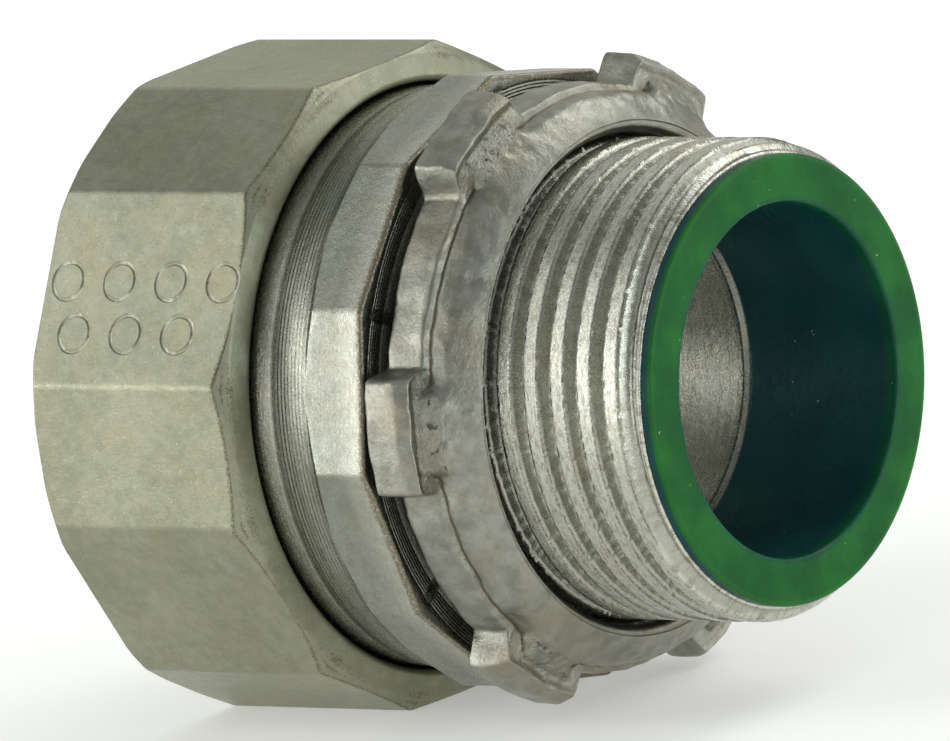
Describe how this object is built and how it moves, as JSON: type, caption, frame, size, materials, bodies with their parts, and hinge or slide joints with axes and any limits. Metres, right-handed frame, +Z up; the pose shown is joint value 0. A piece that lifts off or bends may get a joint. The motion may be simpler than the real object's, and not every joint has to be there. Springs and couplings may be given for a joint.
{
  "type": "conduit compression fitting",
  "caption": "Threadless compression connector that grips a rigid conduit in a gland nut and fastens it to a box with a locknut, with an insulated throat.",
  "frame": {"origin": "on the fitting's axis, in the plane of the shoulder face that bears on the box wall", "axes": "+X along the axis towards the mouth that enters the box, +Z up, so the gland nut rests on a flat below"},
  "size_m": [0.038, 0.036, 0.0352],
  "materials": {
    "plated_steel": "zinc-plated, turned",
    "nut_steel": "zinc-plated, satin",
    "ring_steel": "zinc-plated, turned",
    "locknut_casting": "plated rough casting",
    "liner_plastic": "moulded green nylon"
  },
  "bodies": {
    "connector": {"body": "plated_steel", "throat_liner": "liner_plastic"},
    "ring": {"compression_ring": "ring_steel"},
    "nut": {"gland_nut": "nut_steel"},
    "lock": {"locknut": "locknut_casting"}
  },
  "joints": [
    {"name": "nut_lead", "type": "slide", "parent": "connector", "child": "ring", "axis": [-1, 0, 0], "range_m": [0, 0.0064]},
    {"name": "nut_turn", "type": "hinge", "parent": "ring", "child": "nut", "pos_m": [0, 0, 0], "axis": [-1, 0, 0], "range_deg": [0, 1260]},
    {"name": "locknut_lead", "type": "slide", "parent": "connector", "child": "lock", "axis": [1, 0, 0], "range_m": [-0.001, 0.009]}
  ],
  "couplings": [
    {"joint": "nut_lead", "follows": "nut_turn", "m_per_rad": 0.00028875}
  ]
}
